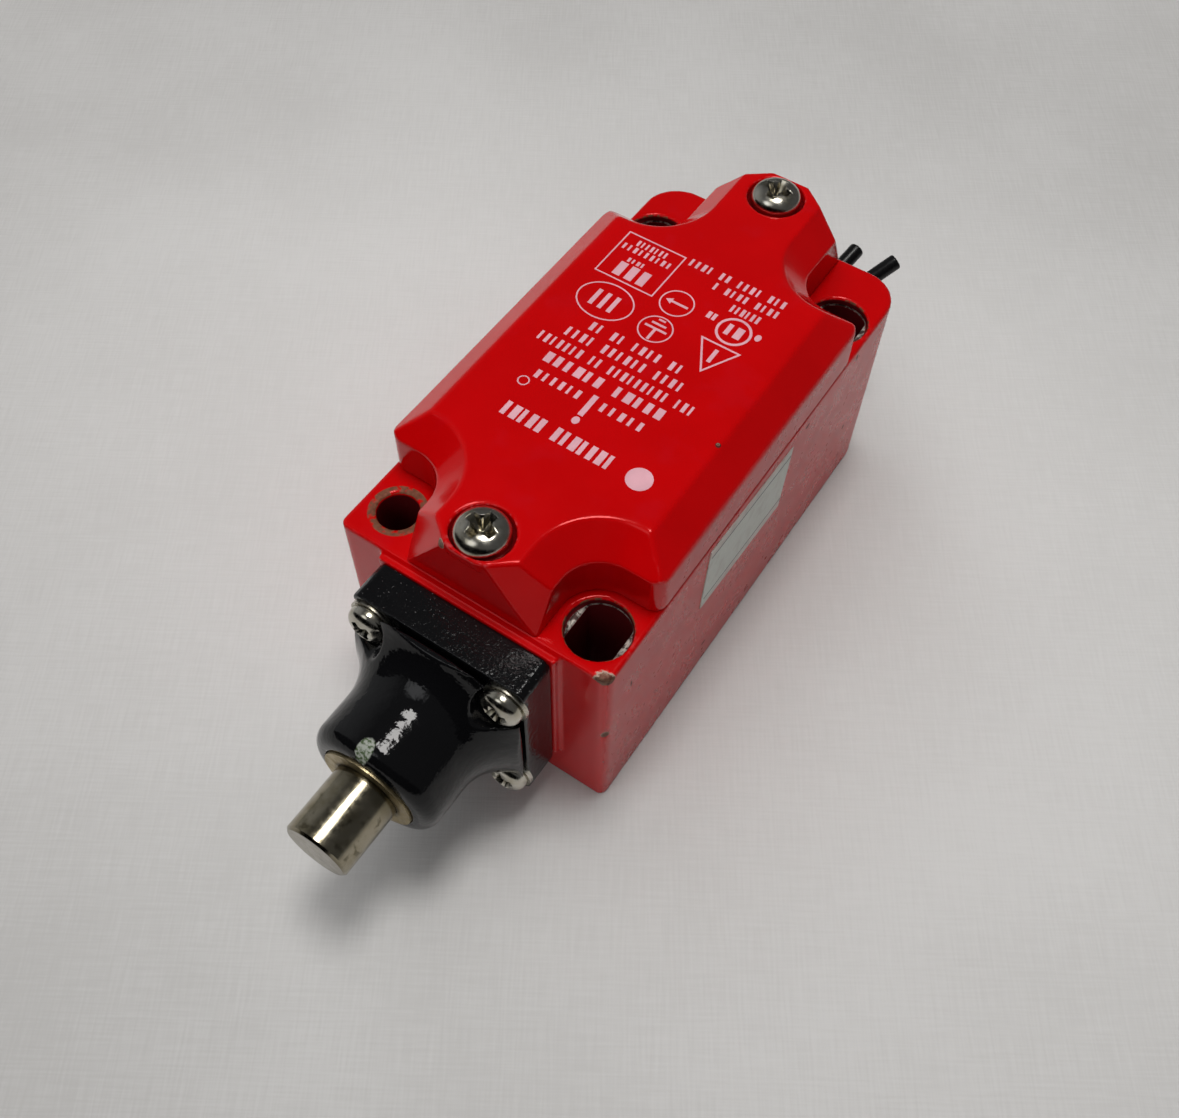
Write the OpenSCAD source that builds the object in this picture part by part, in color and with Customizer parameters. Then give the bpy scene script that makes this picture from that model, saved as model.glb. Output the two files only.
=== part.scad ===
// Limit switch with a plunger head, after the 30 x 60 mm fixing pattern of EN 50041.
// Frame: origin at the centre of the four mounting holes on the back face, +Z up through
// the cover, plunger towards -Y, conduit entry towards +Y.

/* [Mounting holes] */
// Spacing of the mounting holes across the body
hole_pitch_x = 30; // [29.5:0.1:30.5]
// Spacing of the mounting holes along the body
hole_pitch_y = 60; // [59:0.5:61]
// Diameter of the through holes
mount_hole_d = 5.5; // [5.3:0.1:5.8]
// Diameter of the recesses for screw heads
recess_d = 8.4; // [8:0.1:8.8]
// Depth of the round part of those recesses
recess_depth = 1.2; // [0.8:0.1:2]
// Distance between the flats of the pocket under a recess
pocket_flats = 6.4; // [6:0.1:7]

/* [Housing] */
// Width of the body
body_w = 40; // [39:0.5:42]
// Height of the die-cast base
base_h = 33; // [32.5:0.5:34]
// Distance from the hole pattern's centre to the head end
near_end = 35.5; // [35.5:0.1:36]
// Distance from the hole pattern's centre to the conduit end
far_end = 41; // [40.5:0.5:43]
// Thickness of the floor
floor_t = 4; // [3.5:0.1:4.5]
// Thickness of the side walls
side_wall = 3.7; // [3.5:0.1:3.8]
// Width of the rim between the cavity and the corner notches
rim_w = 3.5; // [3.4:0.1:3.8]
// Corner radius at the head end
near_corner_r = 1.2; // [0.6:0.1:2]
// Corner radius at the conduit end
far_corner_r = 5.5; // [4:0.5:6]
// Thickness of the raised pad under the head
pad_t = 1; // [0.6:0.1:1.2]

/* [Conduit entry] */
// Major diameter of the conduit thread
conduit_d = 20; // [18:0.5:20]
// Pitch of the conduit thread
conduit_pitch = 1.5; // [1.5:0.5:2]
// Height of the conduit axis above the back face
conduit_z = 16.5; // [15.5:0.5:16.5]
// Length of the threaded stretch
conduit_thread_len = 12; // [9:1.5:12]

/* [Cover] */
// Height of the cover's top face above the back face
cover_top = 42.8; // [42.5:0.1:43.2]
// Height of the cover's upright skirt
skirt_h = 6.2; // [5.5:0.1:6.5]
// How far the sloping sides lean in
side_lean = 4.1; // [3.5:0.1:4.6]
// Radius of the corner notches at the skirt
notch_low_r = 5.3; // [5:0.1:5.6]
// Radius of the corner notches at the top face
notch_top_r = 9.1; // [8.8:0.1:9.6]
// Half width of the tongue's tip at the top face
tip_half_w = 2.7; // [2.4:0.1:3.2]
// Radius of the cover's corners beside the notches
cover_corner_r = 2; // [1:0.1:2.4]
// Thickness of the cover's walls
cover_wall = 2.5; // [2.2:0.1:2.8]
// Distance of the near cover screw from the pattern's centre
near_screw_y = 31.8; // [31.5:0.1:32]
// Distance of the far cover screw from the pattern's centre
far_screw_y = 36.5; // [36:0.1:37]
// Diameter of the round pocket for a cover screw's head
screw_pocket_d = 8; // [7.6:0.1:8.2]

/* [Head] */
// Height of the plunger's axis above the back face
axis_z = 18.8; // [18.5:0.1:19]
// Width of the flange
flange_w = 25.4; // [25:0.1:26]
// Height of the flange
flange_h = 26.4; // [26:0.1:26.6]
// Thickness of the flange
flange_t = 5.5; // [5:0.1:6]
// Chamfer on the flange's corners
flange_chamfer = 0.8; // [0.4:0.1:2]
// Length of the neck in front of the flange
neck_len = 15; // [14.5:0.1:16]
// Diameter of the neck
neck_d = 18.4; // [17.5:0.1:19]
// Radius of the flare that joins neck and flange
flare_r = 7.2; // [6.5:0.1:7.5]
// Distance from the flange to where the flare starts
flare_start = 8; // [7:0.1:8.5]
// Radius of the rounded nose
nose_r = 2.2; // [1.5:0.1:2.3]
// Spacing of the head screws across
head_screw_dx = 20; // [19.6:0.1:20.2]
// Spacing of the head screws up and down
head_screw_dz = 19; // [18.8:0.1:19.2]

/* [Plunger] */
// Diameter of the plunger
plunger_d = 9; // [8.6:0.1:9.2]
// How far the plunger stands out of the bush
plunger_out = 9.5; // [9:0.1:10]
// Travel of the plunger
travel = 5; // [4.5:0.1:5]
// Outer diameter of the guide bush
bush_d = 13; // [12.8:0.1:13.4]
// Length of the guide bush
bush_len = 7.3; // [7:0.1:7.5]

/* [Contacts] */
// Travel lost before the opening contact is pulled off
nc_lost_motion = 1; // [0.8:0.1:1]
// Gap of the closing contact at rest
no_gap = 3; // [2.8:0.1:3]
// Half width of the contact block
block_half_w = 15.6; // [15.2:0.1:15.8]

/* [Wires] */
// Diameter over the insulation
wire_d = 2.4; // [2:0.1:2.4]
// Diameter of the bare conductor
conductor_d = 1.1; // [0.9:0.1:1.2]

/* [Hidden] */
$fn = 64;
eps = 0.01;
gap = 0.05;
far_big = 60;

near_y = -near_end;
far_y = far_end;
half_w = body_w / 2;
hole_x = hole_pitch_x / 2;
hole_y = hole_pitch_y / 2;

// Cavity of the base: a main room and a channel for the plunger's stem.
room_half_w = half_w - side_wall;
room_half_l = hole_y - notch_low_r - rim_w;
channel_half_w = 6.2;
channel_start = near_y + 4;
channel_open_start = -26;
channel_floor = 12.6;
channel_roof = 25.7;
groove_in = 0.9;
groove_out = 2.4;
groove_depth = 1;

// Pad, flange and head along the axis.
pad_front = near_y - pad_t;
pad_half_w = flange_w / 2 + 0.4;
pad_low_z = 7.4;
pad_top_z = axis_z + flange_h / 2 + 0.3;
flange_front = pad_front - flange_t;
nose_front = flange_front - neck_len;
neck_r = neck_d / 2;
head_screw_d = 3;
head_screw_head_d = 5.5;
head_screw_head_h = 2.1;
head_screw_len = 10;
spotface_r = 3.3;
spotface_depth = 0.3;
washer_t = 0.6;
washer_d = 6.2;
seat_y = flange_front + spotface_depth;

// Plunger and its spring.
bush_front = nose_front - 0.3;
bush_flange_t = 1;
bush_step = 0.5;
bush_back = bush_front + bush_len;
bush_r = plunger_d / 2 + 0.04;
seal_groove_r = bush_r + 0.9;
seal_groove_w = 1.4;
seal_front = bush_front + 4;
tip_front = bush_front - plunger_out;
stem_r = 2.5;
clip_groove_r = 3.4;
clip_t = 1;
clip_r = 6;
collar_back = bush_back + clip_t + 1.4;
spring_seat_t = 1.2;
spring_seat_r = 7.4;
spring_seat_y = pad_front - spring_seat_t;
chamber_r = 6.6;
stem_end = -24.2;

// Contact block, from front to back.
block_front = -20.8;
block_back = 13.2;
block_wall = 1.2;
ledge_z = 22;
channel_half = 7.4;
block_channel_z = axis_z - 5;
carrier_front = block_front + block_wall + 0.3;
carrier_back = 4.7;
carrier_half_w = 3.5;
carrier_half_h = 4.5;
window_half_h = 2.6;
bridge_t = 0.8;
bridge_half_l = 7;
bridge_half_h = 2;
tip_t = 0.6;
fixed_tip_t = 0.8;
tip_x = 5.6;
tip_r = 1.3;
contact_play = 0.02;
strip_t = 1.2;
no_bridge_front = -12.6;
no_tip_face = no_bridge_front + bridge_t + tip_t;
no_window = [no_bridge_front - 5.4, no_bridge_front + bridge_t];
no_strip = no_tip_face + no_gap + contact_play + fixed_tip_t;
nc_bridge_front = -2.3;
nc_tip_face = nc_bridge_front - tip_t;
nc_window = [nc_bridge_front - nc_lost_motion, nc_bridge_front + bridge_t + 5];
nc_strip = nc_tip_face - contact_play - fixed_tip_t - strip_t;

// Terminals on the ledges of the block.
tab_in = 8.2;
tab_out = 15;
tab_l = 7.2;
tab_x = (tab_in + tab_out) / 2;
no_tab = [no_strip + strip_t - tab_l, no_strip + strip_t];
nc_tab = [nc_strip, nc_strip + tab_l];
clamp_lift = 1.2;
clamp_side = 6.4;
clamp_t = 1;
terminal_screw_d = 3.5;
terminal_head_d = 6.2;
clamp_z = ledge_z + strip_t + clamp_lift;

// Block screws, earth terminal and label.
block_screw_y = 8.4;
block_screw_seat = 10;
earth_x = -11.6;
earth_y = 17.3;
earth_z = 10;
label_l = 21.3;
label_h = 12.4;
label_t = 0.15;
label_y = -2.3;
label_z = 24.9;
label_tilt = -3.5;

// Cover screws.
cover_screw_d = 4;
cover_screw_head_d = 6.8;
cover_screw_head_h = 2.6;
cover_screw_seat = cover_top - 1.2;
cover_screw_len = 13.6;
cover_inset = 0.2;
tongue_facet_l = 2.5;

// Routes of the two conductors, from their clamps through the conduit entry.
wire_left_route = [[-9.25, -4.2, 23.8], [-9.25, 2.3, 23.8], [-9.45, 3.3, 23.9], [-9.5, 6, 24.3],
    [-9.7, 10, 24.6], [-9.2, 14.6, 23.8], [-6.6, 18.2, 21.8], [-2.4, 21.8, 20.1],
    [1.2, 26.4, 19.4], [3.6, 31, 19.6], [5, 36, 20.3], [5.9, 41, 21.1], [6.7, 46, 22.6],
    [7.3, 49.2, 23.6], [8, 53, 24.8]];
wire_right_route = [[9.25, -4.2, 23.8], [9.25, 2.3, 23.8], [9.45, 3.3, 23.9], [9.5, 6, 24.3],
    [9.7, 10, 24.6], [9.7, 14.6, 23.6], [8.6, 18.2, 20.8], [7.2, 21.8, 18.2], [6.5, 26, 16.9],
    [6.4, 31, 16.8], [6.7, 36, 17.4], [7.4, 41, 18.7], [9, 44.6, 20.4], [11.4, 48.4, 22.7],
    [14.4, 53.2, 25.6]];
bare_points = 2;

red = [0.72, 0.02, 0.05];
black = [0.05, 0.05, 0.06];
steel = [0.72, 0.72, 0.7];
nickel = [0.78, 0.75, 0.68];
brass = [0.78, 0.62, 0.32];
silver = [0.86, 0.86, 0.88];
rubber = [0.12, 0.12, 0.12];
beige = [0.85, 0.82, 0.72];
grey = [0.28, 0.29, 0.31];

// ---- Helpers ----

// Draws its children mirrored to both sides.
module both_sides() {
    for (s = [0, 1])
        mirror([s, 0, 0]) children();
}

// A round bar along Y from y0 to y1, on the plunger's axis.
module axis_rod(r, y0, y1) {
    translate([0, y0, axis_z]) rotate([-90, 0, 0]) cylinder(r = r, h = y1 - y0);
}

// A box centred on x = 0 and on the plunger's axis.
module axis_box(half_x, half_z, y0, y1) {
    translate([-half_x, y0, axis_z - half_z]) cube([2 * half_x, y1 - y0, 2 * half_z]);
}

// Extrudes an outline given as [x, z] points along Y.
module along_y(points, y0, y1) {
    translate([0, y1, 0]) rotate([90, 0, 0]) linear_extrude(y1 - y0) polygon(points);
}

// Extrudes an outline given as [y, z] points along X.
module along_x(points, x0, x1) {
    translate([x0, 0, 0]) rotate([90, 0, 90]) linear_extrude(x1 - x0) polygon(points);
}

// Everything beyond the plane through p whose outward normal is n.
module beyond(p, n) {
    tilt = acos(n[2] / norm(n));
    turn = atan2(n[1], n[0]);
    translate(p) rotate([0, tilt, turn])
        translate([-far_big / 2, -far_big / 2, 0]) cube(far_big);
}

// A rectangle with its own corner radius at each end.
module plate_outline(w, y0, y1, r0, r1) {
    translate([-w / 2, y0 + r0]) square([w, y1 - y0 - r0 - r1]);
    translate([-w / 2 + r0, y0]) square([w - 2 * r0, r0 + eps]);
    translate([-w / 2 + r1, y1 - r1 - eps]) square([w - 2 * r1, r1 + eps]);
    for (s = [-1, 1]) {
        translate([s * (w / 2 - r0), y0 + r0]) circle(r0);
        translate([s * (w / 2 - r1), y1 - r1]) circle(r1);
    }
}

// Outline of the opening in the base's top face, grown by e.
module cavity_outline(e) {
    translate([-room_half_w - e, -room_half_l - e])
        square([2 * (room_half_w + e), 2 * (room_half_l + e)]);
    translate([-channel_half_w - e, channel_open_start - e])
        square([2 * (channel_half_w + e), -channel_open_start]);
}

// A cross recess, cut down from z = 0.
module cross_recess(span, slot_w, depth) {
    for (a = [0, 90])
        rotate(a) translate([-span / 2, -slot_w / 2, -depth]) cube([span, slot_w, 2 * depth]);
}

// A pan-head screw with a cross recess: head above z = 0, shank below.
module pan_screw(d, len, head_d, head_h) {
    dome_r = (head_d * head_d / 4 + head_h * head_h) / (2 * head_h) * 1.12;
    difference() {
        intersection() {
            cylinder(d = head_d, h = head_h);
            translate([0, 0, head_h - dome_r]) sphere(dome_r);
        }
        translate([0, 0, head_h]) cross_recess(head_d * 0.56, head_d * 0.15, head_h * 0.62);
    }
    translate([0, 0, -len]) cylinder(d = d, h = len + eps);
}

// A round disc with a hole.
module ring(r_out, r_in, h) {
    difference() {
        cylinder(r = r_out, h = h);
        translate([0, 0, -eps]) cylinder(r = r_in, h = h + 2 * eps);
    }
}

function unit(v) = v / norm(v);

// Sweeps a round section along the points; radii gives its radius at each of them.
module swept_tube(points, radii, sides) {
    n = len(points);
    tangents = [for (i = [0:n - 1]) unit(points[min(i + 1, n - 1)] - points[max(i - 1, 0)])];
    across = [for (t = tangents) unit(cross(t, [0, 0, 1]))];
    upward = [for (i = [0:n - 1]) cross(across[i], tangents[i])];
    skin = [for (i = [0:n - 1], k = [0:sides - 1])
        points[i] + radii[i] * (cos(360 * k / sides) * across[i]
            + sin(360 * k / sides) * upward[i])];
    walls = [for (i = [0:n - 2], k = [0:sides - 1])
        let (a = i * sides + k, b = i * sides + (k + 1) % sides)
        [a, a + sides, b + sides, b]];
    ends = [[for (k = [0:sides - 1]) k], [for (k = [sides - 1:-1:0]) (n - 1) * sides + k]];
    polyhedron(points = skin, faces = concat(walls, ends));
}

// A coil spring on the plunger's axis between y0 and y1.
module coil(r_mid, wire_r, turns, y0, y1) {
    steps = 14;
    n = turns * steps;
    points = [for (i = [0:n]) let (a = 360 * i / steps)
        [r_mid * cos(a), y0 + wire_r + (y1 - y0 - 2 * wire_r) * i / n, axis_z + r_mid * sin(a)]];
    rise = (y1 - y0 - 2 * wire_r) / (turns * 2 * PI * r_mid);
    skin = [for (i = [0:n], k = [0:5]) let (a = 360 * i / steps, b = 60 * k)
        points[i] + wire_r * (cos(b) * [cos(a), 0, sin(a)]
            + sin(b) * unit([rise * sin(a), 1, -rise * cos(a)]))];
    walls = [for (i = [0:n - 1], k = [0:5])
        let (a = i * 6 + k, b = i * 6 + (k + 1) % 6)
        [a, b, b + 6, a + 6]];
    ends = [[for (k = [5:-1:0]) k], [for (k = [0:5]) n * 6 + k]];
    polyhedron(points = skin, faces = concat(walls, ends));
}

// ---- Housing and cover ----

// The conduit hole with ring grooves for its thread, cut in from the far face.
module conduit_hole() {
    minor_r = conduit_d / 2 - conduit_pitch * 0.5;
    turns = floor(conduit_thread_len / conduit_pitch);
    crest = conduit_pitch * 0.25;
    translate([0, far_y, conduit_z]) rotate([90, 0, 0]) {
        translate([0, 0, -1]) cylinder(r = minor_r, h = far_end - room_half_l + 2);
        translate([0, 0, -1]) cylinder(r1 = conduit_d / 2 + 1, r2 = conduit_d / 2 - 0.5, h = 1.6);
        for (i = [0:turns - 1])
            translate([0, 0, (i + 0.5) * conduit_pitch]) rotate_extrude()
                polygon([[0, crest / 2], [minor_r - eps, crest / 2], [conduit_d / 2, crest * 1.5],
                    [conduit_d / 2, crest * 2], [minor_r - eps, crest * 3], [0, crest * 3]]);
    }
}

// A mounting hole; the plain kind has no recess for the screw's head.
module mounting_hole(plain) {
    translate([0, 0, -1]) cylinder(d = mount_hole_d, h = base_h + 2);
    if (!plain) {
        translate([0, 0, base_h - recess_depth]) cylinder(d = recess_d, h = recess_depth + 1);
        intersection() {
            translate([0, 0, floor_t + 2]) cylinder(d = recess_d, h = base_h);
            translate([-pocket_flats / 2, -recess_d, 0]) cube([pocket_flats, 2 * recess_d, base_h]);
        }
    }
}

// A blind hole for a screw along Z, from its mouth down.
module tapped_hole(x, y, z_mouth, d, depth) {
    translate([x, y, z_mouth - depth]) cylinder(r = d / 2 + gap, h = depth + eps);
}

module housing() {
    color(red) difference() {
        union() {
            difference() {
                union() {
                    linear_extrude(base_h)
                        plate_outline(body_w, near_y, far_y, near_corner_r, far_corner_r);
                    translate([-pad_half_w, pad_front, pad_low_z])
                        cube([2 * pad_half_w, pad_t + 1, pad_top_z - pad_low_z]);
                }
                translate([-room_half_w, -room_half_l, floor_t])
                    cube([2 * room_half_w, 2 * room_half_l, base_h]);
                translate([-channel_half_w, channel_start, channel_floor])
                    cube([2 * channel_half_w, near_end - room_half_l, channel_roof - channel_floor]);
                translate([-channel_half_w, channel_open_start, channel_floor])
                    cube([2 * channel_half_w, -channel_open_start, base_h]);
                translate([0, 0, base_h - groove_depth]) linear_extrude(groove_depth + 1)
                    difference() {
                        cavity_outline(groove_out);
                        cavity_outline(groove_in);
                    }
            }
            // Seat of the earth terminal.
            translate([earth_x, earth_y, floor_t - eps]) cylinder(r = 3.8, h = earth_z - floor_t);
        }
        axis_rod(6, pad_front - 1, channel_start + 1);
        conduit_hole();
        for (sx = [-1, 1], sy = [-1, 1])
            translate([sx * hole_x, sy * hole_y, 0]) mounting_hole(sx < 0 && sy < 0);
        tapped_hole(0, -near_screw_y, base_h, cover_screw_d, 5.6);
        tapped_hole(0, far_screw_y, base_h, cover_screw_d, 5.6);
        tapped_hole(earth_x, earth_y, earth_z, terminal_screw_d, 6);
        for (s = [-1, 1])
            tapped_hole(s * tab_x, block_screw_y, floor_t, terminal_screw_d, 3);
        for (sx = [-1, 1], sz = [-1, 1])
            translate([sx * head_screw_dx / 2, pad_front - eps, axis_z + sz * head_screw_dz / 2])
                rotate([-90, 0, 0]) cylinder(r = head_screw_d / 2 + gap, h = 5);
    }
}

// Outline of the cover across the body, leaning in above its skirt, as [x, z] points.
function cover_section(inset) = let (w = half_w - inset, top = cover_top - inset)
    [[-w, base_h - eps], [w, base_h - eps], [w, base_h + skirt_h], [w - side_lean, top],
        [side_lean - w, top], [-w, base_h + skirt_h]];

// One corner notch around a mounting hole at the origin, opening towards +X and -Y.
module corner_notch() {
    z0 = base_h - 1;
    z1 = base_h + skirt_h;
    spread = notch_top_r - notch_low_r;
    z2 = cover_top + (cover_top - z1);
    r2 = notch_top_r + spread;
    profile = [[-notch_low_r, z0], [-notch_low_r, z1], [-r2, z2], [far_big, z2], [far_big, z0]];
    translate([0, 0, z0]) cylinder(r = notch_low_r, h = z1 - z0 + eps);
    translate([0, 0, z1]) cylinder(r1 = notch_low_r, r2 = r2, h = z2 - z1);
    along_y(profile, -far_big, 0);
    mirror([0, 1, 0]) along_x(profile, 0, far_big);
}

// Rounds the cover's corner between that notch and the side.
module notch_corner() {
    r = cover_corner_r;
    overlap = 0.03;
    x = half_w - hole_x - r + overlap;
    y = notch_low_r + r - overlap;
    difference() {
        translate([x, notch_low_r - 1, base_h - 1]) cube([r + 1, r + 1 - overlap, cover_top]);
        translate([x, y, base_h - 2]) cylinder(r = r, h = 2 * cover_top);
    }
}

// Cuts the tongue's corner between its end face and its side, at end y on the +X side.
module tongue_corner(y, sy) {
    low = [hole_x - notch_low_r, y, base_h - 0.5];
    tip = [tip_half_w, y, cover_top];
    back = [hole_x - notch_top_r, y + sy * tongue_facet_l, cover_top];
    n = cross(back - tip, low - tip);
    reach = 4.5;
    intersection() {
        beyond(tip, n[0] > 0 ? n : -n);
        translate([0, sy > 0 ? y - 1 : y - reach, 0]) cube([half_w, reach + 1, 2 * cover_top]);
    }
}

// Hollow under the cover's top: the room's outline, leaning in like the outside.
module cover_hollow() {
    inner_l = room_half_l + 0.4;
    intersection() {
        along_y(cover_section(cover_wall), -inner_l, inner_l);
        along_x([[-inner_l, base_h - 1], [inner_l, base_h - 1], [inner_l, base_h + skirt_h - 1],
            [inner_l - side_lean, cover_top - cover_wall],
            [side_lean - inner_l, cover_top - cover_wall], [-inner_l, base_h + skirt_h - 1]],
            -half_w, half_w);
    }
}

module cover() {
    y0 = near_y + cover_inset;
    y1 = far_y - cover_inset;
    color(red) difference() {
        intersection() {
            along_y(cover_section(0), y0, y1);
            translate([-half_w, y0, base_h]) cube([body_w, y1 - y0, base_h]);
        }
        both_sides() {
            for (m = [0, 1])
                mirror([0, m, 0]) translate([hole_x, -hole_y, 0]) {
                    corner_notch();
                    notch_corner();
                }
            tongue_corner(y0, 1);
            tongue_corner(y1, -1);
        }
        cover_hollow();
        for (y = [-near_screw_y, far_screw_y]) {
            translate([0, y, base_h - 1]) cylinder(r = cover_screw_d / 2 + 0.2, h = base_h);
            translate([0, y, cover_screw_seat]) cylinder(d = screw_pocket_d, h = base_h);
        }
    }
}

module cover_gasket() {
    color(rubber) translate([0, 0, base_h - groove_depth]) linear_extrude(groove_depth)
        difference() {
            cavity_outline(groove_out - 0.1);
            cavity_outline(groove_in + 0.1);
        }
}

module cover_screws() {
    color(steel) for (y = [-near_screw_y, far_screw_y])
        translate([0, y, cover_screw_seat]) rotate(y > 0 ? 20 : 45)
            pan_screw(cover_screw_d, cover_screw_len, cover_screw_head_d, cover_screw_head_h);
}

module side_label() {
    color([0.82, 0.85, 0.8]) translate([half_w, label_y, label_z]) rotate([label_tilt, 0, 0])
        translate([0, -label_l / 2, -label_h / 2]) cube([label_t, label_l, label_h]);
}

// ---- Head ----

// Outline of the flange across the axis, as [x, z] points with its corners cut.
function flange_outline() = let (w = flange_w / 2, h = flange_h / 2, c = flange_chamfer)
    [for (q = [[1, 1], [1, -1], [-1, -1], [-1, 1]]) let (side = q[0] * q[1] > 0)
        each [[q[0] * (side ? w - c : w), axis_z + q[1] * (side ? h : h - c)],
            [q[0] * (side ? w : w - c), axis_z + q[1] * (side ? h - c : h)]]];

// Half section of the neck as [radius, distance in front of the flange] points.
function neck_profile() = concat(
    [[0, -1]],
    [for (a = [78:-6:0]) [neck_r + flare_r * (1 - cos(a)), flare_start - flare_r * sin(a)]],
    [for (a = [0:10:90]) [neck_r - nose_r * (1 - cos(a)), neck_len - nose_r * (1 - sin(a))]],
    [[0, neck_len]]);

// Draws its children at each head screw, with +Z pointing out of the flange.
module at_head_screws() {
    for (sx = [-1, 1], sz = [-1, 1])
        translate([sx * head_screw_dx / 2, seat_y, axis_z + sz * head_screw_dz / 2])
            rotate([90, 0, 0]) children();
}

module actuator_head() {
    color(black) difference() {
        union() {
            along_y(flange_outline(), flange_front, pad_front);
            intersection() {
                along_y(flange_outline(), nose_front - 1, pad_front);
                translate([0, flange_front, axis_z]) rotate([90, 0, 0])
                    rotate_extrude() polygon(neck_profile());
            }
        }
        axis_rod(bush_d / 2 - bush_step + gap, nose_front - 1, bush_back + eps);
        axis_rod(bush_d / 2 + gap, nose_front - 1, nose_front + bush_flange_t);
        axis_rod(chamber_r, bush_back - eps, pad_front + 1);
        axis_rod(spring_seat_r + gap, spring_seat_y, pad_front + 1);
        difference() {
            axis_rod(spring_seat_r + 2.2, pad_front - 0.7, pad_front + 1);
            axis_rod(spring_seat_r + 0.9, pad_front - 1, pad_front + 1);
        }
        at_head_screws() {
            cylinder(r = spotface_r, h = neck_len);
            translate([0, 0, -10]) cylinder(r = head_screw_d / 2 + 0.2, h = 11);
        }
    }
}

module head_gasket() {
    color(rubber) translate([0, pad_front, axis_z]) rotate([90, 0, 0])
        ring(spring_seat_r + 2.1, spring_seat_r + 1, 0.7);
}

module head_screws() {
    color(steel) at_head_screws() translate([0, 0, washer_t]) rotate(30)
        pan_screw(head_screw_d, head_screw_len, head_screw_head_d, head_screw_head_h);
}

module head_screw_washers() {
    color(steel) at_head_screws() ring(washer_d / 2, head_screw_d / 2 + 0.1, washer_t);
}

// ---- Plunger group ----

module plunger_bush() {
    color(brass) difference() {
        union() {
            axis_rod(bush_d / 2 - bush_step, bush_front + eps, bush_back);
            axis_rod(bush_d / 2, bush_front, nose_front + bush_flange_t);
        }
        axis_rod(bush_r, bush_front - 1, bush_back + 1);
        axis_rod(seal_groove_r, seal_front, seal_front + seal_groove_w);
    }
}

// An O-ring in the bush's groove.
module plunger_seal() {
    cord_r = (seal_groove_r - bush_r) / 2 - 0.03;
    color(rubber) translate([0, seal_front + seal_groove_w / 2, axis_z]) rotate([90, 0, 0])
        rotate_extrude() translate([bush_r + cord_r + 0.03, 0]) circle(cord_r, $fn = 24);
}

module plunger() {
    r = plunger_d / 2;
    color(nickel) difference() {
        union() {
            translate([0, tip_front, axis_z]) rotate([-90, 0, 0])
                cylinder(r1 = r - 0.35, r2 = r, h = 0.35);
            axis_rod(r, tip_front + 0.35, collar_back);
            axis_rod(stem_r, collar_back - eps, stem_end);
        }
        difference() {
            axis_rod(r + 1, bush_back + gap, bush_back + gap + clip_t + gap);
            axis_rod(clip_groove_r, bush_back - 1, collar_back);
        }
    }
}

// A spring clip in the plunger's groove, which stops it against the bush.
module plunger_clip() {
    color(steel) difference() {
        axis_rod(clip_r, bush_back + gap + 0.02, bush_back + gap + clip_t);
        axis_rod(clip_groove_r + 0.02, bush_back - 1, collar_back);
        translate([-1.6, bush_back - 1, axis_z - 8]) cube([3.2, 4, 8]);
    }
}

module plunger_spring() {
    color(steel) coil(5.1, 0.5, 5, bush_back + gap + clip_t, spring_seat_y);
}

module spring_seat() {
    color(steel) difference() {
        axis_rod(spring_seat_r, spring_seat_y, pad_front);
        axis_rod(stem_r + 0.08, spring_seat_y - 1, pad_front + 1);
    }
}

// ---- Contact block ----

// A slot for a contact strip between the channel and its ledge.
module strip_slot(y) {
    translate([channel_half - 0.2, y - gap, axis_z - bridge_half_h - gap])
        cube([tab_in - channel_half + 0.3, strip_t + 2 * gap, 10]);
}

module contact_block_base() {
    barrier_z = ledge_z + 5;
    color(grey) difference() {
        union() {
            translate([-block_half_w, block_front, floor_t])
                cube([2 * block_half_w, block_back - block_front, ledge_z - floor_t]);
            both_sides() {
                translate([tab_in + 0.2, no_tab[0] - 1.3, ledge_z - eps])
                    cube([block_half_w - tab_in - 0.2, 1.2, barrier_z - ledge_z]);
                translate([tab_in + 0.2, no_tab[1] + gap, ledge_z - eps])
                    cube([block_half_w - tab_in - 0.2, nc_tab[0] - no_tab[1] - 2 * gap,
                        barrier_z - ledge_z]);
            }
            // End walls of the carrier's channel.
            for (y = [block_front, block_back - block_wall])
                translate([gap - channel_half, y, ledge_z - eps])
                    cube([2 * (channel_half - gap), block_wall, 2]);
        }
        translate([-channel_half, block_front + block_wall, block_channel_z])
            cube([2 * channel_half, block_back - block_front - 2 * block_wall, base_h]);
        axis_rod(stem_r + 0.3, block_front - 1, block_front + 2);
        both_sides() {
            strip_slot(no_strip);
            strip_slot(nc_strip);
            for (tab = [no_tab, nc_tab])
                tapped_hole(tab_x, (tab[0] + tab[1]) / 2, ledge_z, terminal_screw_d, 8);
            translate([tab_x, block_screw_y, 0])
                cylinder(r = terminal_screw_d / 2 + 0.1, h = base_h);
            translate([tab_x, block_screw_y, block_screw_seat])
                cylinder(r = terminal_head_d / 2 + 0.3, h = base_h);
        }
        // Hollows that keep the moulding's walls even.
        for (s = [-1, 1], y = [block_front + 3, -3.5])
            translate([s * 11.4 - 2.6, y, floor_t - 1]) cube([5.2, 8, 9]);
    }
}

module contact_block_cover() {
    color(beige) difference() {
        union() {
            translate([-channel_half - eps, block_front, ledge_z + 2])
                cube([2 * (channel_half + eps), block_back - block_front, 1.2]);
            both_sides()
                translate([channel_half, block_front, ledge_z])
                    cube([0.7, block_back - block_front, 3.2]);
        }
        both_sides()
            translate([channel_half - 1, no_strip - 0.3, ledge_z - 1])
                cube([3, strip_t + 0.6, 2.6]);
        both_sides()
            translate([channel_half - 1, nc_strip - 0.3, ledge_z - 1])
                cube([3, strip_t + 0.6, 2.6]);
    }
}

module block_screws() {
    color(steel) for (s = [-1, 1])
        translate([s * tab_x, block_screw_y, block_screw_seat])
            pan_screw(terminal_screw_d, 8.6, terminal_head_d, 2);
}

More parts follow.
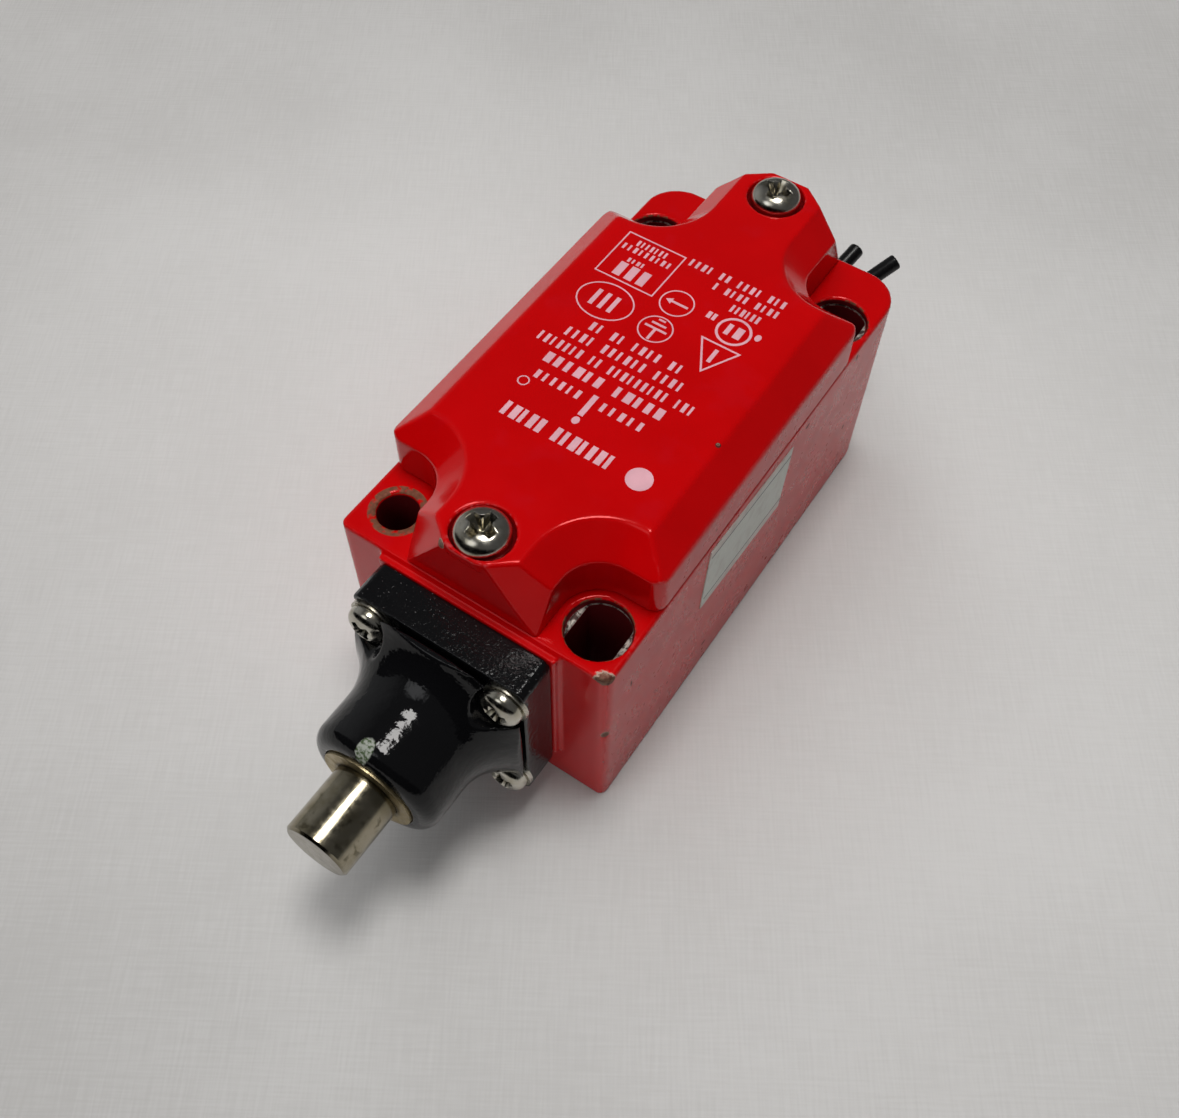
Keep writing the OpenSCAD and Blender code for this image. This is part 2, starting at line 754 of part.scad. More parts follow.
// The carrier is a bar with a window for each bridge and its spring.
module contact_carrier() {
    color(beige) difference() {
        union() {
            axis_box(carrier_half_w, carrier_half_h, carrier_front, carrier_back);
            axis_rod(stem_r, stem_end + 0.2, carrier_front + eps);
            axis_rod(1.4, carrier_back - eps, carrier_back + 1.6);
        }
        for (w = [no_window, nc_window])
            axis_box(carrier_half_w + 1, window_half_h, w[0], w[1]);
    }
}

module carrier_spring() {
    color(steel) coil(2.3, 0.25, 4, carrier_back, block_back - block_wall);
}

// A moving contact bridge whose face nearer the head is at y.
module bridge(y) {
    axis_box(bridge_half_l, bridge_half_h, y, y + bridge_t);
}

// A pair of contact tips from y0 to y1.
module tips(y0, y1, r) {
    for (s = [-1, 1])
        translate([s * tip_x, y0, axis_z]) rotate([-90, 0, 0]) cylinder(r = r, h = y1 - y0);
}

module nc_bridge() { color(brass) bridge(nc_bridge_front); }

module no_bridge() { color(brass) bridge(no_bridge_front); }

module nc_bridge_tips() { color(silver) tips(nc_tip_face, nc_bridge_front, tip_r); }

module no_bridge_tips() { color(silver) tips(no_bridge_front + bridge_t, no_tip_face, tip_r); }

module nc_fixed_tips() {
    color(silver) tips(nc_strip + strip_t, nc_strip + strip_t + fixed_tip_t, tip_r + 0.2);
}

module no_fixed_tips() { color(silver) tips(no_strip - fixed_tip_t, no_strip, tip_r + 0.2); }

module nc_contact_spring() {
    color(steel) coil(1.7, 0.22, 4, nc_bridge_front + bridge_t, nc_window[1]);
}

module no_contact_spring() {
    color(steel) coil(1.7, 0.22, 4, no_window[0], no_bridge_front);
}

// A contact strip in the channel, bent over to a tab on the ledge, on the +X side.
module terminal(strip_y, tab) {
    color(brass) difference() {
        union() {
            translate([carrier_half_w + 0.7, strip_y, axis_z - bridge_half_h])
                cube([tab_in - carrier_half_w - 0.7 + eps, strip_t,
                    ledge_z + strip_t - axis_z + bridge_half_h]);
            translate([tab_in, tab[0], ledge_z])
                cube([tab_out - tab_in, tab[1] - tab[0], strip_t]);
        }
        translate([tab_x, (tab[0] + tab[1]) / 2, ledge_z - 1])
            cylinder(r = terminal_screw_d / 2 + gap, h = strip_t + 2);
    }
}

module nc_terminal_left() { mirror([1, 0, 0]) terminal(nc_strip, nc_tab); }

module nc_terminal_right() { terminal(nc_strip, nc_tab); }

module no_terminal_left() { mirror([1, 0, 0]) terminal(no_strip, no_tab); }

module no_terminal_right() { terminal(no_strip, no_tab); }

// A square clamp with a hole for its screw, centred on z = 0 at its lower face.
module clamp() {
    difference() {
        translate([-clamp_side / 2, -clamp_side / 2, 0]) cube([clamp_side, clamp_side, clamp_t]);
        translate([0, 0, -1]) cylinder(r = terminal_screw_d / 2 + 0.1, h = clamp_t + 2);
    }
}

// Draws its children over each terminal's screw hole.
module at_terminals() {
    for (s = [-1, 1], tab = [no_tab, nc_tab])
        translate([s * tab_x, (tab[0] + tab[1]) / 2, clamp_z]) children();
}

module terminal_clamps() { color(steel) at_terminals() clamp(); }

module terminal_screws() {
    color(steel) at_terminals() translate([0, 0, clamp_t]) rotate(25)
        pan_screw(terminal_screw_d, 8, terminal_head_d, 2);
}

module earth_screw() {
    color(steel) translate([earth_x, earth_y, earth_z + clamp_t])
        pan_screw(terminal_screw_d, 6, terminal_head_d, 2);
}

module earth_clamp() { color(steel) translate([earth_x, earth_y, earth_z]) clamp(); }

// ---- Wires ----

// An insulated wire with a bare conductor under its clamp.
module wire(route) {
    radii = [for (i = [0:len(route) - 1]) (i < bare_points ? conductor_d : wire_d) / 2];
    swept_tube(route, radii, 8);
}

module wire_left() { color(black) wire(wire_left_route); }

module wire_right() { color(black) wire(wire_right_route); }

housing();
cover();
cover_gasket();
cover_screws();
side_label();
actuator_head();
head_gasket();
head_screws();
head_screw_washers();
plunger_bush();
plunger_seal();
plunger();
plunger_clip();
plunger_spring();
spring_seat();
contact_block_base();
contact_block_cover();
block_screws();
contact_carrier();
carrier_spring();
nc_bridge();
nc_bridge_tips();
nc_contact_spring();
no_bridge();
no_bridge_tips();
no_contact_spring();
nc_terminal_left();
nc_terminal_right();
no_terminal_left();
no_terminal_right();
nc_fixed_tips();
no_fixed_tips();
terminal_clamps();
terminal_screws();
earth_screw();
earth_clamp();
wire_left();
wire_right();
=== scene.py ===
import math

import bmesh
import bpy
import numpy as np
from mathutils import Matrix, Vector


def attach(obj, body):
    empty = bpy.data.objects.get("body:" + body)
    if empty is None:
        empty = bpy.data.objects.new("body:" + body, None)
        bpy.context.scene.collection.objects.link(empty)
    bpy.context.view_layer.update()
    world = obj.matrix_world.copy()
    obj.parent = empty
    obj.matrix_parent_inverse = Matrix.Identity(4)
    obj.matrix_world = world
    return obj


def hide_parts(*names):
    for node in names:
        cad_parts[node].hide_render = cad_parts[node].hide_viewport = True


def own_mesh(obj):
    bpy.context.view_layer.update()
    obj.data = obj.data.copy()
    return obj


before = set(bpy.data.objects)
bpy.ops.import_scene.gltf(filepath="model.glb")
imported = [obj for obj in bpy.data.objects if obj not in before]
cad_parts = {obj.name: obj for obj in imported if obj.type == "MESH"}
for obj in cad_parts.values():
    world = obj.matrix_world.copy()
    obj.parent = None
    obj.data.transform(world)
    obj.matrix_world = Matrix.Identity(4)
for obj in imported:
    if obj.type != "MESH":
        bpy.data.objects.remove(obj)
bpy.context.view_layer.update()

MM = 0.001
# heights above the floor, in millimetres
AXIS_Z = 18.8
BASE_TOP = 33
COVER_TOP = 42.8
scene = bpy.context.scene
scene.view_settings.view_transform = "Standard"
scene.view_settings.look = "None"


# ---------------------------------------------------------------- camera

def aim(obj, place, target, roll=0.0):
    """Puts obj at place, with its -Z axis towards target."""
    turn = (Vector(target) - Vector(place)).to_track_quat("-Z", "Y").to_matrix().to_4x4()
    obj.matrix_world = Matrix.Translation(place) @ turn @ Matrix.Rotation(roll, 4, "Z")


lens = bpy.data.cameras.new("camera")
lens.sensor_fit = "HORIZONTAL"
lens.sensor_width = 36
lens.lens = 38.328
lens.clip_start = 0.01
CAMERA_PLACE = (0.05373126, -0.09258474, 0.16066321)
CAMERA_TARGET = (0.004034, -0.015357, 0.020)
CAMERA_ROLL = math.radians(1.354)
camera = bpy.data.objects.new("camera", lens)
scene.collection.objects.link(camera)
aim(camera, CAMERA_PLACE, CAMERA_TARGET, CAMERA_ROLL)
scene.camera = camera


# ---------------------------------------------------------------- mesh helpers

def add_object(name, mesh, body="switch_body", smooth=True):
    """Links a mesh as a piece that rides on a body."""
    piece = bpy.data.objects.new(name, mesh)
    scene.collection.objects.link(piece)
    for face in mesh.polygons:
        face.use_smooth = smooth
    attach(piece, body)
    return piece


def tube_mesh(name, points, radii, sides=20):
    """A closed round tube along points, with one radius for each point."""
    verts = []
    faces = []
    path = [Vector(p) for p in points]
    side = None
    for i, point in enumerate(path):
        ahead = (path[min(i + 1, len(path) - 1)] - path[max(i - 1, 0)]).normalized()
        if side is None:
            side = ahead.orthogonal().normalized()
        side = (side - ahead * side.dot(ahead)).normalized()
        other = ahead.cross(side)
        for k in range(sides):
            angle = 2 * math.pi * k / sides
            verts.append(point + radii[i] * (math.cos(angle) * side + math.sin(angle) * other))
    for i in range(len(path) - 1):
        for k in range(sides):
            a = i * sides + k
            b = i * sides + (k + 1) % sides
            faces.append((a, b, b + sides, a + sides))
    faces.append(tuple(reversed(range(sides))))
    faces.append(tuple(range((len(path) - 1) * sides, len(path) * sides)))
    mesh = bpy.data.meshes.new(name)
    mesh.from_pydata(verts, [], faces)
    return mesh


def spline(points, steps):
    """Catmull-Rom points through the given ones."""
    p = [Vector(q) for q in points]
    p = [2 * p[0] - p[1]] + p + [2 * p[-1] - p[-2]]
    out = []
    for i in range(1, len(p) - 2):
        for s in range(steps):
            t = s / steps
            out.append(0.5 * (2 * p[i] + (p[i + 1] - p[i - 1]) * t
                              + (2 * p[i - 1] - 5 * p[i] + 4 * p[i + 1] - p[i + 2]) * t * t
                              + (3 * p[i] - p[i - 1] - 3 * p[i + 1] + p[i + 2]) * t ** 3))
    out.append(p[-2])
    return out


# ---------------------------------------------------------------- cords

WIRE_R = 1.2 * MM
CORE_R = 0.55 * MM
CUT_R = 0.35 * MM    # the rounded rim of a cut end
BARE_POINTS = 7
WIRE_ROUTES = {
    "wire_left": [(-9.25, -4.2, 23.8), (-9.25, 2.3, 23.8), (-9.45, 3.3, 23.9), (-9.5, 6, 24.3),
                  (-9.7, 10, 24.6), (-9.2, 14.6, 23.8), (-6.6, 18.2, 21.8), (-2.4, 21.8, 20.1),
                  (1.2, 26.4, 19.4), (3.6, 31, 19.6), (5, 36, 20.3), (5.9, 41, 21.1),
                  (6.7, 46, 22.6), (7.3, 49.2, 23.6), (8, 53, 24.8)],
    "wire_right": [(9.25, -4.2, 23.8), (9.25, 2.3, 23.8), (9.45, 3.3, 23.9), (9.5, 6, 24.3),
                   (9.7, 10, 24.6), (9.7, 14.6, 23.6), (8.6, 18.2, 20.8), (7.2, 21.8, 18.2),
                   (6.5, 26, 16.9), (6.4, 31, 16.8), (6.7, 36, 17.4), (7.4, 41, 18.7),
                   (9, 44.6, 20.4), (11.4, 48.4, 22.7), (14.4, 53.2, 25.6)],
}
wires = []
for wire_name, route in WIRE_ROUTES.items():
    line = spline([Vector(p) * MM for p in route], 6)
    radii = [CORE_R] * BARE_POINTS + [WIRE_R] * (len(line) - BARE_POINTS)
    # the cut end is flat, with a rounded rim
    ahead = (line[-1] - line[-2]).normalized()
    tip = line.pop()
    radii.pop()
    for step in range(6):
        turn = math.radians(18 * step)
        line.append(tip - ahead * CUT_R * (1 - math.sin(turn)))
        radii.append(WIRE_R - CUT_R * (1 - math.cos(turn)))
    wire = add_object(wire_name + "_insulated", tube_mesh(wire_name, line, radii, 24))
    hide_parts(wire_name)
    wires.append(wire)


# ---------------------------------------------------------------- stage and light

def area_light(name, place, target, size, power, colour):
    """A round light of a size in metres and a power in watts."""
    data = bpy.data.lights.new(name, "AREA")
    data.shape = "DISK"
    data.size = size
    data.energy = power
    data.color = colour
    obj = bpy.data.objects.new(name, data)
    scene.collection.objects.link(obj)
    aim(obj, place, target)
    return obj


def stage_plane(name, corners):
    mesh = bpy.data.meshes.new(name)
    mesh.from_pydata(corners, [], [(0, 1, 2, 3)])
    plane = bpy.data.objects.new(name, mesh)
    scene.collection.objects.link(plane)
    return plane


floor = stage_plane("floor", [(-3, -3, 0), (3, -3, 0), (3, 3, 0), (-3, 3, 0)])
CENTRE = (0, -0.005, 0.02)
LAMP_DIRECTION = Vector((0.01, 0.13, 0.99)).normalized()
LAMP_DISTANCE = 1.2
area_light("lamp", Vector(CENTRE) + LAMP_DISTANCE * LAMP_DIRECTION, CENTRE, 0.38, 6.0, (1.0, 0.985, 0.96))
# name, place, size, power, colour: soft lights that no reflection sees
SOFT_LIGHTS = [
    ("overhead", (-0.4, 0.0, 1.9), 1.6, 11.0, (1.0, 0.99, 0.98)),
    ("fill", (0.6, -1.5, 1.1), 1.2, 5.0, (1.0, 0.99, 0.98)),
    ("window", (-1.6, 0.3, 1.5), 1.4, 6.0, (0.98, 0.99, 1.0)),
]
for light_name, place, size, power, colour in SOFT_LIGHTS:
    area_light(light_name, place, CENTRE, size, power, colour).visible_glossy = False

# a black card in front of the object, which only its reflections see
flag = stage_plane("flag", [(-1.2, -0.3, 0), (1.2, -0.3, 0), (1.2, -0.3, 0.3), (-1.2, -0.3, 0.3)])
flag.visible_camera = False
flag.visible_diffuse = False
flag.visible_shadow = False

world = bpy.data.worlds.new("world")
scene.world = world
world.use_nodes = True
sky = world.node_tree
direction = sky.nodes.new("ShaderNodeTexCoord").outputs["Generated"]


def glow(axis, low, high, dim, bright):
    """The strength of the sky towards an axis: dim below the cosine low, bright at high."""
    toward = sky.nodes.new("ShaderNodeVectorMath")
    toward.operation = "DOT_PRODUCT"
    toward.inputs[1].default_value = Vector(axis).normalized()
    sky.links.new(direction, toward.inputs[0])
    span = sky.nodes.new("ShaderNodeMapRange")
    span.interpolation_type = "SMOOTHSTEP"
    for socket, value in {"From Min": low, "From Max": high, "To Min": dim, "To Max": bright}.items():
        span.inputs[socket].default_value = value
    sky.links.new(toward.outputs["Value"], span.inputs["Value"])
    return span.outputs["Result"]


both = sky.nodes.new("ShaderNodeMath")
both.operation = "ADD"
sky.links.new(glow((-0.96, 0.0, 0.28), 0.7, 1.0, 0.08, 0.3), both.inputs[0])
sky.links.new(glow((-0.25, -0.5, 0.82), 0.95, 0.995, 0.0, 1.4), both.inputs[1])
sky.links.new(both.outputs[0], sky.nodes["Background"].inputs["Strength"])
sky.nodes["Background"].inputs["Color"].default_value = (0.97, 0.985, 1.0, 1)


# ---------------------------------------------------------------- finishes

HOLES = [(-15, -30), (15, -30), (-15, 30), (15, 30)]
PLAIN_HOLE = (-15, -30)
RECESS_R = 4.2
NEAR_POCKET = (0, -31.8, 0)
FAR_POCKET = (0, 36.5, 0)
FLANGE_FRONT = -42.5
SIDE_WALL = (19.3, 19.8)    # a side wall's finish fades in between these


class Finish:
    """A material and short names for the nodes it needs. Lengths are in millimetres."""

    def __init__(self, name, **sockets):
        self.material = bpy.data.materials.new(name)
        self.material.use_nodes = True
        self.tree = self.material.node_tree
        self.shader = self.tree.nodes["Principled BSDF"]
        place = self.tree.nodes.new("ShaderNodeTexCoord").outputs["Object"]
        scale = self.tree.nodes.new("ShaderNodeVectorMath")
        scale.operation = "SCALE"
        scale.inputs["Scale"].default_value = 1 / MM
        self.tree.links.new(place, scale.inputs[0])
        self.place = scale.outputs[0]
        for socket, value in sockets.items():
            self.put(socket.replace("_", " "), value)

    def put(self, socket, value):
        self.join(value, self.shader.inputs[socket])

    def join(self, value, socket):
        """Links a node's output to a socket, or sets the socket to a number or colour."""
        if isinstance(value, bpy.types.NodeSocket):
            self.tree.links.new(value, socket)
        elif isinstance(value, (tuple, list)) and len(value) == 3 and socket.type == "RGBA":
            socket.default_value = (*value, 1)
        else:
            socket.default_value = value

    def node(self, kind, inputs=(), **settings):
        made = self.tree.nodes.new("ShaderNode" + kind)
        for key, value in settings.items():
            setattr(made, key, value)
        for key, value in dict(inputs).items():
            self.join(value, made.inputs[key])
        return made

    def noise(self, size, detail=2.0, rough=0.5, at=None, twist=0.0):
        """Noise whose lumps are about size millimetres across."""
        made = self.node("TexNoise", {"Vector": at or self.place, "Scale": 1 / size, "Detail": detail,
                                      "Roughness": rough, "Distortion": twist})
        return made.outputs["Fac"]

    def math(self, operation, a, b=0.0):
        made = self.node("Math", operation=operation)
        self.join(a, made.inputs[0])
        self.join(b, made.inputs[1])
        return made.outputs[0]

    def times(self, *values):
        out = values[0]
        for value in values[1:]:
            out = self.math("MULTIPLY", out, value)
        return out

    def attribute(self, name):
        return self.node("Attribute", attribute_name=name).outputs["Fac"]

    def ramp(self, value, low, high, a=0.0, b=1.0):
        """value from low to high becomes a to b, with soft ends."""
        made = self.node("MapRange", {"Value": value, "From Min": low, "From Max": high,
                                      "To Min": a, "To Max": b}, interpolation_type="SMOOTHSTEP")
        return made.outputs["Result"]

    def mix(self, share, a, b):
        made = self.node("Mix", data_type="RGBA")
        self.join(share, made.inputs["Factor"])
        colours = [s for s in made.inputs if s.type == "RGBA"]
        self.join(a, colours[0])
        self.join(b, colours[1])
        return [s for s in made.outputs if s.type == "RGBA"][0]

    def most(self, *values):
        out = values[0]
        for value in values[1:]:
            out = self.math("MAXIMUM", out, value)
        return out

    def stretch(self, x, y, z, at=None):
        """The place, scaled by axis, for streaks."""
        made = self.node("VectorMath", operation="MULTIPLY")
        self.join(at or self.place, made.inputs[0])
        made.inputs[1].default_value = (x, y, z)
        return made.outputs[0]

    def axis(self, name):
        return self.node("SeparateXYZ", {"Vector": self.place}).outputs[name]

    def distance(self, point, scale=(1, 1, 1)):
        """The distance in millimetres from a point, with each axis weighted."""
        away = self.node("VectorMath", operation="SUBTRACT")
        self.join(self.place, away.inputs[0])
        away.inputs[1].default_value = point
        weighed = self.node("VectorMath", operation="MULTIPLY")
        self.join(away.outputs[0], weighed.inputs[0])
        weighed.inputs[1].default_value = scale
        size = self.node("VectorMath", operation="LENGTH")
        self.join(weighed.outputs[0], size.inputs[0])
        return size.outputs["Value"]

    def spot(self, point, radius, scale=(1, 1, 1), ragged=0.35, grain=0.5):
        """1 inside a ragged spot round a point, 0 outside."""
        wander = self.math("SUBTRACT", self.noise(grain, 3), 0.5)
        edge = self.math("ADD", self.distance(point, scale), self.times(wander, 2 * ragged * radius))
        return self.ramp(edge, radius, radius * 0.82)

    def bump(self, height, depth, below=None):
        """A bump of the given depth in millimetres, on top of another one."""
        made = self.node("Bump", {"Height": height, "Distance": depth * MM, "Strength": 1.0})
        if below is not None:
            self.join(below, made.inputs["Normal"])
        return made.outputs["Normal"]


def give(finish, *names):
    """Assigns a finish to CAD nodes or pieces."""
    for name in names:
        obj = name if isinstance(name, bpy.types.Object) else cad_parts[name]
        obj.data.materials.clear()
        obj.data.materials.append(finish.material)
        for face in obj.data.polygons:
            face.material_index = 0


def cloth():
    """White sheet with painted light fall-off: a little darker away from the middle."""
    f = Finish("floor_cloth", Roughness=0.95, Specular_IOR_Level=0.1)
    # painted shade: the sheet darkens with distance from the middle
    away = f.distance((0, 14, 0), (0.75, 1, 0))
    tone = f.mix(f.ramp(away, 40, 130), (0.6, 0.592, 0.582), (0.46, 0.452, 0.443))
    turned = f.node("VectorRotate", {"Vector": f.place, "Angle": -0.57}, rotation_type="Z_AXIS")
    threads = turned.outputs[0]
    warp = f.noise(0.35, 1, at=f.stretch(1, 0.05, 1, threads))
    weft = f.noise(0.35, 1, at=f.stretch(0.05, 1, 1, threads))
    weave = f.math("ADD", warp, weft)
    soft = f.noise(45, 2)
    shade = f.ramp(f.math("ADD", f.times(weave, 0.6), soft), 0.7, 1.5)
    f.put("Base Color", f.mix(f.times(shade, 0.16), tone, (0.9, 0.9, 0.9)))
    f.put("Normal", f.bump(soft, 0.2, f.bump(weave, 0.03)))
    return f


def card():
    return Finish("flag_black", Base_Color=(0, 0, 0), Roughness=1.0, Specular_IOR_Level=0.0)


def hole_masks(f):
    """The four fixing holes: bare ledges where the paint has gone, brown rings, and painted shade in their
    insides.
    """
    z = f.axis("Z")
    ledge = f.times(f.ramp(z, 31.55, 31.65), f.ramp(z, 32.0, 31.9))
    top = f.ramp(z, BASE_TOP - 0.3, BASE_TOP - 0.15)
    bare = 0.0
    brown = 0.0
    hole_shade = 0.0
    for x, y in HOLES:
        away = f.distance((x, y, 0), (1, 1, 0))
        if (x, y) == PLAIN_HOLE:
            rubbed = f.times(f.ramp(away, 2.5, 2.6), f.ramp(away, 3.9, 3.75))
            torn = f.ramp(f.noise(1.1, 4), 0.34, 0.5)
            brown = f.most(brown, f.times(rubbed, torn, top))
            inside = f.times(f.ramp(away, 2.9, 2.8), f.ramp(z, BASE_TOP - 0.3, BASE_TOP - 0.6))
        else:
            within = f.ramp(away, RECESS_R + 0.2, RECESS_R + 0.1)
            bare = f.most(bare, f.times(f.ramp(away, RECESS_R + 0.1, RECESS_R), ledge))
            rim = f.times(within, f.ramp(z, BASE_TOP - 0.5, BASE_TOP - 0.3))
            brown = f.most(brown, f.times(rim, f.ramp(f.noise(0.9, 4), 0.46, 0.56)))
            below = f.times(f.ramp(z, BASE_TOP - 0.2, BASE_TOP - 0.4), f.math("SUBTRACT", 1.0, ledge))
            inside = f.times(within, below)
        # painted shade: the insides of the holes are darkened
        hole_shade = f.most(hole_shade, inside)
    return bare, brown, hole_shade


def pocket_shade(f, pockets):
    """Where painted shade darkens the screw pockets: 1 inside them, below their rims and behind the thin
    wall at the near end.
    """
    inside = 0.0
    for place in pockets:
        inside = f.most(inside, f.ramp(f.distance(place, (1, 1, 0)), 4.0, 3.9))
    return f.times(inside, f.ramp(f.axis("Z"), COVER_TOP - 0.1, COVER_TOP - 0.4),
                   f.ramp(f.axis("Y"), -35.2, -35.05))


def red_paint(name, chips, specks, holes=False, pockets=()):
    """Gloss red over a die casting. chips and specks are (place, radius, scale) in millimetres,
    pockets are the middles of screw pockets."""
    f = Finish(name, IOR=1.55, Specular_Tint=(1.0, 0.25, 0.25))
    red = f.mix(f.ramp(f.noise(9, 3), 0.3, 0.7), (0.5, 0.0006, 0.0014), (0.54, 0.0008, 0.0018))
    haze = f.times(f.ramp(f.noise(5, 4), 0.58, 0.72), 0.05)
    red = f.mix(haze, red, (0.42, 0.02, 0.05))
    # the right side is rubbed, and the edges are painted paler: partly wear, partly painted highlight
    rubbed = f.ramp(f.noise(7, 2, at=f.stretch(1, 0.4, 1)), 0.4, 0.7)
    rubbed = f.times(rubbed, f.ramp(f.axis("X"), *SIDE_WALL, 0.0, 0.25))
    red = f.mix(rubbed, red, (0.3, 0.03, 0.035))
    edge_wear_and_highlight = f.times(f.ramp(f.attribute("edge"), 0.35, 0.7), f.ramp(f.noise(0.7, 4), 0.48, 0.62))
    red = f.mix(f.times(edge_wear_and_highlight, 0.4), red, (0.6, 0.12, 0.13))
    # painted shade: the screw pockets are darkened
    red = f.mix(f.times(pocket_shade(f, pockets), 0.8), red, (0.05, 0.003, 0.004))
    stain = 0.0
    for place, radius, scale in specks:
        stain = f.most(stain, f.spot(place, radius, scale, 0.2))
    red = f.mix(stain, red, (0.07, 0.012, 0.01))
    # a chip shows brown primer, with a pale torn rim above it
    rim = 0.0
    primer = 0.0
    for (x, y, z), radius, scale in chips:
        rim = f.most(rim, f.spot((x, y, z), radius, scale))
        primer = f.most(primer, f.spot((x, y, z - 0.12 * radius), 0.92 * radius, scale))
    mottle = f.noise(0.8, 5, 0.6, twist=0.6)
    red = f.mix(rim, red, (0.45, 0.36, 0.29))
    red = f.mix(primer, red, f.mix(f.ramp(mottle, 0.35, 0.65), (0.05, 0.022, 0.014), (0.2, 0.125, 0.08)))
    bare = 0.0
    brown = 0.0
    hole_shade = 0.0
    if holes:
        bare, brown, hole_shade = hole_masks(f)
        # painted shade darkens the insides of the fixing holes
        red = f.mix(hole_shade, red, (0.1, 0.006, 0.008))
        red = f.mix(brown, red, f.mix(f.noise(0.5, 4), (0.03, 0.01, 0.004), (0.24, 0.11, 0.06)))
    metal_tone = f.mix(f.ramp(mottle, 0.42, 0.58), (0.07, 0.055, 0.05), (0.6, 0.58, 0.52))
    f.put("Base Color", f.mix(bare, red, metal_tone))
    f.put("Metallic", f.times(bare, 0.5))
    side = f.ramp(f.math("ABSOLUTE", f.axis("X")), *SIDE_WALL, 0.0, 0.15)
    rough = f.math("ADD", f.ramp(f.noise(3, 3), 0.3, 0.7, 0.11, 0.16), side)
    scarred = f.most(rim, bare, brown, hole_shade, stain)
    f.put("Roughness", f.math("ADD", rough, f.times(scarred, 0.4)))
    peel = f.bump(f.noise(1.3, 2), 0.012, f.bump(f.noise(6, 2), 0.03))
    hollow = f.math("SUBTRACT", f.times(mottle, 0.8), 1.0)
    f.put("Normal", f.bump(f.times(f.most(rim, bare), hollow), 0.06, peel))
    return f


def black_enamel():
    """Thick black enamel: lumpy on the flange, flowing on the neck, with one chip near the nose."""
    f = Finish("black_enamel", IOR=1.37)
    chip = f.spot((0.0, -55.9, 27.5), 1.15, (1, 0.68, 0.5), 0.2, 0.7)
    flange = f.ramp(f.axis("Y"), FLANGE_FRONT - 1.1, FLANGE_FRONT - 0.1)
    pale = f.mix(f.ramp(f.noise(0.5, 3), 0.45, 0.6), (0.3, 0.32, 0.28), (0.05, 0.08, 0.03))
    dust = f.times(f.ramp(f.noise(0.4, 3), 0.66, 0.73), flange)
    brink = f.ramp(f.math("ABSOLUTE", f.math("SUBTRACT", f.axis("Y"), FLANGE_FRONT)), 0.3, 0.1)
    brink = f.times(brink, f.ramp(f.axis("Z"), 30.4, 31), f.ramp(f.noise(0.6, 3), 0.52, 0.62))
    dust = f.most(dust, brink)
    black = f.mix(dust, (0.0035, 0.0035, 0.004), (0.1, 0.1, 0.1))
    f.put("Base Color", f.mix(chip, black, pale))
    scars = f.math("ADD", f.times(chip, 0.4), f.times(flange, 0.06))
    f.put("Roughness", f.math("ADD", f.ramp(f.noise(2, 3), 0.3, 0.7, 0.05, 0.09), scars))
    lumps = f.bump(f.noise(1.4, 2), 0.065, f.bump(f.noise(0.5, 3), 0.014))
    grit = f.times(f.noise(0.5, 3, 0.6), f.most(flange, f.ramp(f.attribute("edge"), 0.25, 0.6)))
    f.put("Normal", f.bump(chip, -0.08, f.bump(grit, 0.045, lumps)))
    return f


def shaded(colour, shares):
    return tuple(c * k for c, k in zip(colour, shares))


def metal(name, colour, roughness, grain=0.4, depth=0.004, axis=(1, 1, 1), grime_and_shade=None):
    """Worn plated metal. The last argument is a function of the finish that gives a mask for darkening:
    grime, and on the screws also painted shade in the cross recess.
    """
    f = Finish(name, Metallic=1.0)
    blotch = f.ramp(f.noise(1.8, 4), 0.38, 0.72)
    tone = f.mix(blotch, colour, shaded(colour, (0.72, 0.7, 0.62)))
    pits = f.ramp(f.noise(0.3, 2), 0.68, 0.76)
    tone = f.mix(f.times(pits, 0.5), tone, shaded(colour, (0.25, 0.25, 0.25)))
    # darkening for grime, and on the screws for painted shade in the cross recess
    if grime_and_shade:
        tone = f.mix(grime_and_shade(f), tone, shaded(colour, (0.27, 0.25, 0.19)))
    f.put("Base Color", tone)
    f.put("Roughness", f.ramp(f.noise(0.8, 3), 0.3, 0.7, roughness * 0.8, roughness * 1.3))
    f.put("Normal", f.bump(f.noise(grain, 2, at=f.stretch(*axis)), depth))
    return f


def plastic(name, colour, roughness=0.45, **sockets):
    """Moulded plastic, rubber or ink with a fine grain."""
    f = Finish(name, **sockets)
    f.put("Base Color", f.mix(f.ramp(f.noise(4, 3), 0.3, 0.7), shaded(colour, (0.88, 0.88, 0.88)), colour))
    f.put("Roughness", f.ramp(f.noise(0.7, 2), 0.3, 0.7, roughness * 0.9, roughness * 1.12))
    f.put("Normal", f.bump(f.noise(0.25, 2), 0.006))
    return f


def label_paper():
    """A pale label whose outer strips have gone thin."""
    f = Finish("label_paper")
    z = f.axis("Z")
    middle = f.times(f.ramp(z, 20.1, 20.5), f.ramp(z, 30.1, 29.7))
    tone = f.mix(middle, (0.6, 0.56, 0.52), (0.6, 0.63, 0.58))
    stain = f.ramp(f.noise(2.5, 4), 0.45, 0.7)
    f.put("Base Color", f.mix(f.times(stain, 0.3), tone, (0.35, 0.31, 0.28)))
    f.put("Roughness", f.ramp(f.noise(1, 3), 0.3, 0.7, 0.38, 0.5))
    f.put("Normal", f.bump(f.noise(1.5, 3), 0.02))
    return f


# ---------------------------------------------------------------- rounded castings

def modified(mesh, kind, **settings):
    """The mesh after one modifier."""
    holder = bpy.data.objects.new("holder", mesh)
    scene.collection.objects.link(holder)
    step = holder.modifiers.new("step", kind)
    for key, value in settings.items():
        setattr(step, key, value)
    out = bpy.data.meshes.new_from_object(holder.evaluated_get(bpy.context.evaluated_depsgraph_get()))
    bpy.data.objects.remove(holder)
    bpy.data.meshes.remove(mesh)
    return out


